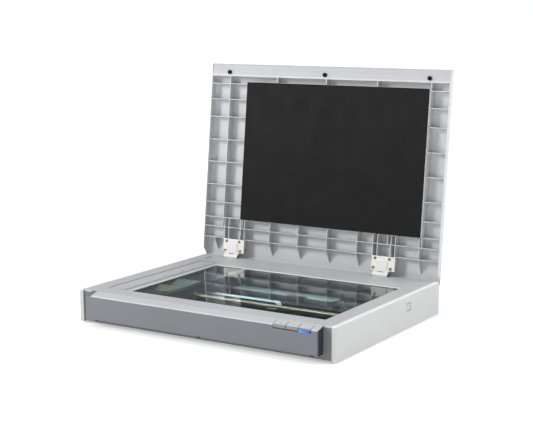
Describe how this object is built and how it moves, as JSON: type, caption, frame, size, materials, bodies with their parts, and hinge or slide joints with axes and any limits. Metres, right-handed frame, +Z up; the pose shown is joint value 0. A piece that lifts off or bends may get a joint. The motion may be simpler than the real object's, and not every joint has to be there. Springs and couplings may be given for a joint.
{
  "type": "flatbed scanner",
  "caption": "Flat glass document scanner with a hinged, lifting lid, a black-faced document mat, a front control bar with push buttons and a belt-driven scan carriage.",
  "frame": {"origin": "on the table under the middle of the whole footprint, lid open", "axes": "+X to the right along the hinge line, +Y from the control bar at the front to the hinges at the rear, +Z up"},
  "size_m": [0.58, 0.511, 0.4965],
  "materials": {
    "lower_housing": "dark grey textured moulding",
    "top_frame": "light grey, very fine texture",
    "left_side_panel": "light grey, very fine texture",
    "right_side_panel": "light grey, very fine texture",
    "side_cover": "light grey snap-in cover",
    "platen_glass": "clear float glass, slightly green",
    "glass_tape": "black foam tape",
    "calibration_strip": "white reference film",
    "front_bar": "blue-grey satin",
    "bar_top_strip": "light grey satin",
    "led_lens": "clear blue light lens",
    "bar_clips": "black clip tips",
    "button_board": "green circuit board",
    "button_switches": "black tactile switches",
    "rubber_feet": "black rubber",
    "housing_screws": "zinc-plated screws",
    "guide_rod": "ground steel rod",
    "rod_holders": "dark moulded seats",
    "carriage_frame": "black glass-filled plastic",
    "carriage_cover": "black moulded covers",
    "perforated_shield": "light perforated sheet",
    "sensor_module": "black sensor case",
    "sensor_window": "narrow clear cover glass",
    "light_guide": "clear light guide rod",
    "rod_bushings": "sintered bearing metal",
    "belt_clamp": "black plastic",
    "glass_sliders": "low-friction slider",
    "sensor_springs": "spring wire",
    "drive_belt": "toothed belt",
    "idler_pulley": "natural acetal",
    "belt_tensioner": "dark plastic",
    "tension_spring": "spring wire",
    "motor_bracket": "pressed steel plate",
    "stepper_motor": "pressed steel can",
    "motor_pinion": "cut brass",
    "drive_gear": "natural acetal",
    "gear_pin": "turned steel",
    "main_board": "green circuit board",
    "board_chips": "black component bodies",
    "board_cover": "dark grey moulded cover",
    "ribbon_cable": "white flat flexible cable",
    "home_sensor": "black slotted sensor",
    "power_inlet": "black socket",
    "usb_socket": "plated shell",
    "switch_housing": "black switch body",
    "power_rocker": "black rocker",
    "lid_shell": "light grey, very fine texture",
    "mat_foam": "white closed-cell foam",
    "document_mat": "black film",
    "lid_bumpers": "black rubber",
    "hinge_brackets": "off-white moulding",
    "hinge_screws": "yellow-passivated screws",
    "hinge_pins": "dark phosphated steel",
    "hinge_legs": "off-white moulding",
    "hinge_springs": "spring wire",
    "button_1": "light grey top, blue-grey skirt",
    "button_2": "light grey top, blue-grey skirt",
    "button_3": "light grey top, blue-grey skirt"
  },
  "bodies": {
    "base": {"lower_housing": "lower_housing", "top_frame": "top_frame", "left_side_panel": "left_side_panel", "right_side_panel": "right_side_panel", "side_cover": "side_cover", "platen_glass": "platen_glass", "glass_tape": "glass_tape", "calibration_strip": "calibration_strip", "front_bar": "front_bar", "bar_top_strip": "bar_top_strip", "led_lens": "led_lens", "bar_clips": "bar_clips", "button_board": "button_board", "button_switches": "button_switches", "rubber_feet": "rubber_feet", "housing_screws": "housing_screws", "guide_rod": "guide_rod", "rod_holders": "rod_holders", "drive_belt": "drive_belt", "belt_tensioner": "belt_tensioner", "tension_spring": "tension_spring", "motor_bracket": "motor_bracket", "stepper_motor": "stepper_motor", "gear_pin": "gear_pin", "main_board": "main_board", "board_chips": "board_chips", "board_cover": "board_cover", "ribbon_cable": "ribbon_cable", "home_sensor": "home_sensor", "power_inlet": "power_inlet", "usb_socket": "usb_socket", "switch_housing": "switch_housing"},
    "hinge_posts": {"hinge_legs": "hinge_legs"},
    "lid": {"lid_shell": "lid_shell", "mat_foam": "mat_foam", "document_mat": "document_mat", "lid_bumpers": "lid_bumpers", "hinge_brackets": "hinge_brackets", "hinge_screws": "hinge_screws", "hinge_pins": "hinge_pins", "hinge_springs": "hinge_springs"},
    "carriage": {"carriage_frame": "carriage_frame", "carriage_cover": "carriage_cover", "perforated_shield": "perforated_shield", "sensor_module": "sensor_module", "sensor_window": "sensor_window", "light_guide": "light_guide", "rod_bushings": "rod_bushings", "belt_clamp": "belt_clamp", "glass_sliders": "glass_sliders", "sensor_springs": "sensor_springs"},
    "idler": {"idler_pulley": "idler_pulley"},
    "drive_wheel": {"drive_gear": "drive_gear"},
    "pinion": {"motor_pinion": "motor_pinion"},
    "rocker": {"power_rocker": "power_rocker"},
    "button_1": {"button_1": "button_1"},
    "button_2": {"button_2": "button_2"},
    "button_3": {"button_3": "button_3"}
  },
  "joints": [
    {"name": "lid_lift", "type": "slide", "parent": "base", "child": "hinge_posts", "axis": [0, 0, 1], "range_m": [0, 0.02]},
    {"name": "lid_hinge", "type": "hinge", "parent": "hinge_posts", "child": "lid", "pos_m": [0, 0.18871, 0.0705], "axis": [1, 0, 0], "range_deg": [0, 96]},
    {"name": "carriage_slide", "type": "slide", "parent": "base", "child": "carriage", "axis": [1, 0, 0], "range_m": [-0.077, 0.372], "deforming": ["ribbon_cable"]},
    {"name": "idler_spin", "type": "hinge", "parent": "base", "child": "idler", "pos_m": [-0.266, -0.06529, 0.0285], "axis": [0, 0, 1], "range_deg": [-610, 2925]},
    {"name": "drive_spin", "type": "hinge", "parent": "base", "child": "drive_wheel", "pos_m": [0.253, -0.06529, 0.0115], "axis": [0, 0, 1], "range_deg": [-610, 2925]},
    {"name": "pinion_spin", "type": "hinge", "parent": "base", "child": "pinion", "pos_m": [0.253, -0.03889, 0.0115], "axis": [0, 0, 1], "range_deg": [-18500, 3835]},
    {"name": "power_rock", "type": "hinge", "parent": "base", "child": "rocker", "pos_m": [0.241, 0.18971, 0.0305], "axis": [1, 0, 0], "range_deg": [0, 21.4]},
    {"name": "button_1_press", "type": "slide", "parent": "base", "child": "button_1", "axis": [0, 0, -1], "range_m": [0, 0.0008], "stiffness_N_per_m": 400, "springref_m": -0.0005},
    {"name": "button_2_press", "type": "slide", "parent": "base", "child": "button_2", "axis": [0, 0, -1], "range_m": [0, 0.0008], "stiffness_N_per_m": 400, "springref_m": -0.0005},
    {"name": "button_3_press", "type": "slide", "parent": "base", "child": "button_3", "axis": [0, 0, -1], "range_m": [0, 0.0008], "stiffness_N_per_m": 400, "springref_m": -0.0005}
  ],
  "couplings": [
    {"joint": "idler_spin", "follows": "carriage_slide", "rad_per_m": 136.99},
    {"joint": "drive_spin", "follows": "carriage_slide", "rad_per_m": 136.99},
    {"joint": "pinion_spin", "follows": "carriage_slide", "rad_per_m": -867.58}
  ]
}
